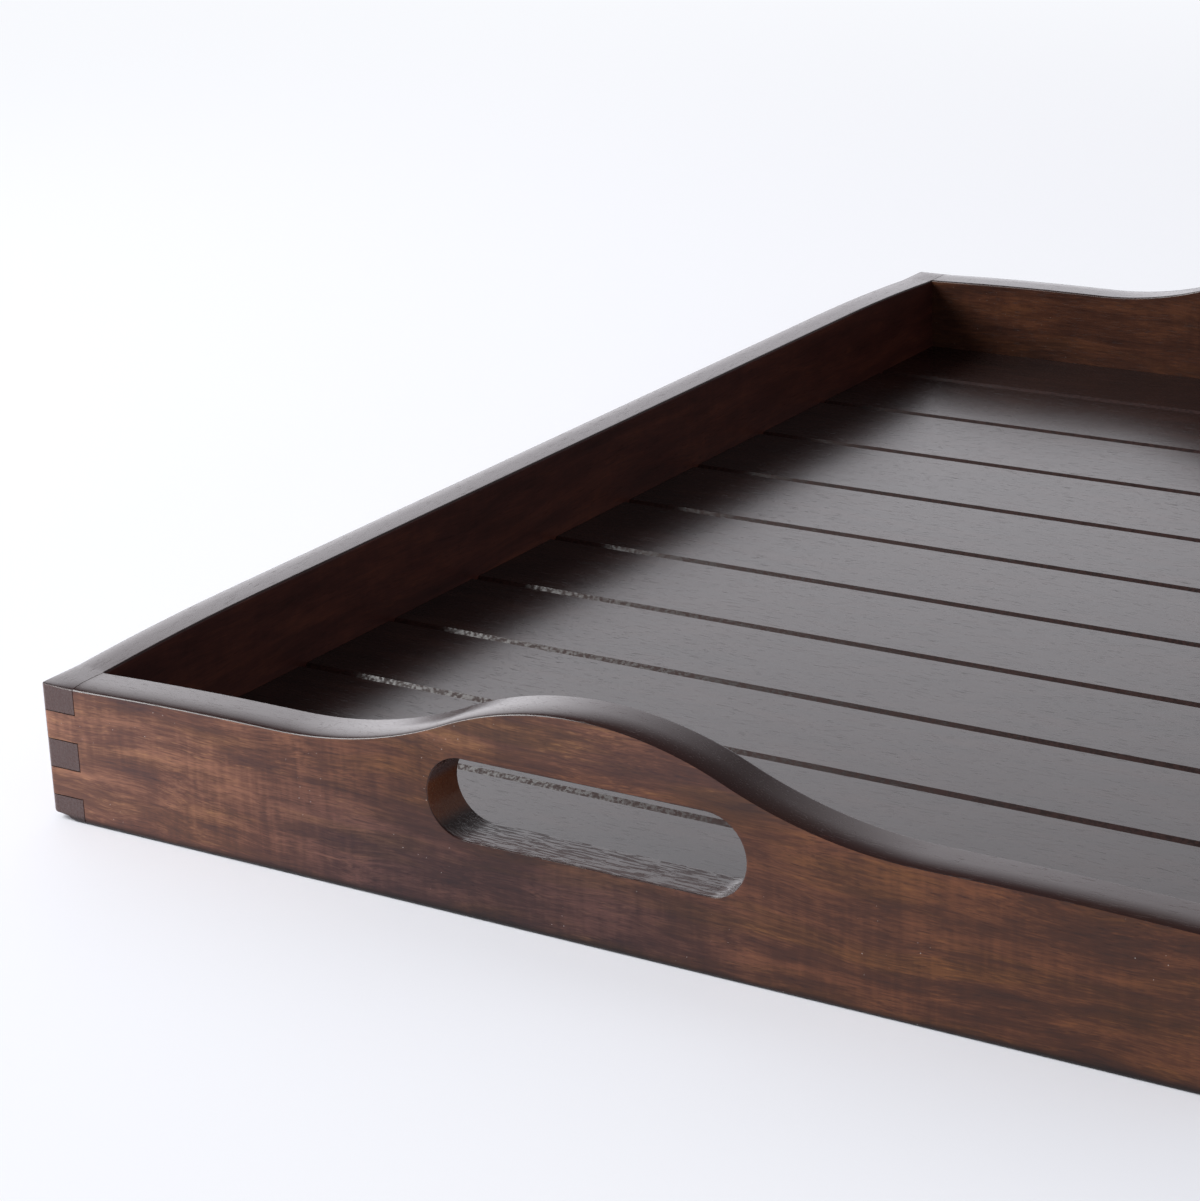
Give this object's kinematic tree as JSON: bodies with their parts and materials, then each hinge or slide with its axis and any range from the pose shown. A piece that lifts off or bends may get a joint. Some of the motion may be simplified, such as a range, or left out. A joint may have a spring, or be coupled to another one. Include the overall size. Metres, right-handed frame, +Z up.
{
  "type": "wooden serving tray",
  "caption": "Rectangular wooden serving tray with finger-jointed corners, humped end boards with hand slots, and a floor of tongue-and-groove slats.",
  "frame": {"origin": "middle of the tray's footprint, on the surface that it stands on", "axes": "+X across the tray, along the slats, +Y along the tray from the near hand slot to the far one, +Z up"},
  "size_m": [0.43, 0.61, 0.0739],
  "materials": {
    "end_wood": "satin lacquer over dark walnut stain, grain along the board",
    "side_wood": "satin lacquer over dark walnut stain, grain along the board",
    "slat_wood": "satin lacquer over dark walnut stain, grain along the slat, open pores"
  },
  "bodies": {
    "root": {"near_end_board": "end_wood", "far_end_board": "end_wood", "left_side_rail": "side_wood", "right_side_rail": "side_wood", "floor_slat_01": "slat_wood", "floor_slat_02": "slat_wood", "floor_slat_03": "slat_wood", "floor_slat_04": "slat_wood", "floor_slat_05": "slat_wood", "floor_slat_06": "slat_wood", "floor_slat_07": "slat_wood", "floor_slat_08": "slat_wood", "floor_slat_09": "slat_wood", "floor_slat_10": "slat_wood", "floor_slat_11": "slat_wood"}
  },
  "joints": []
}
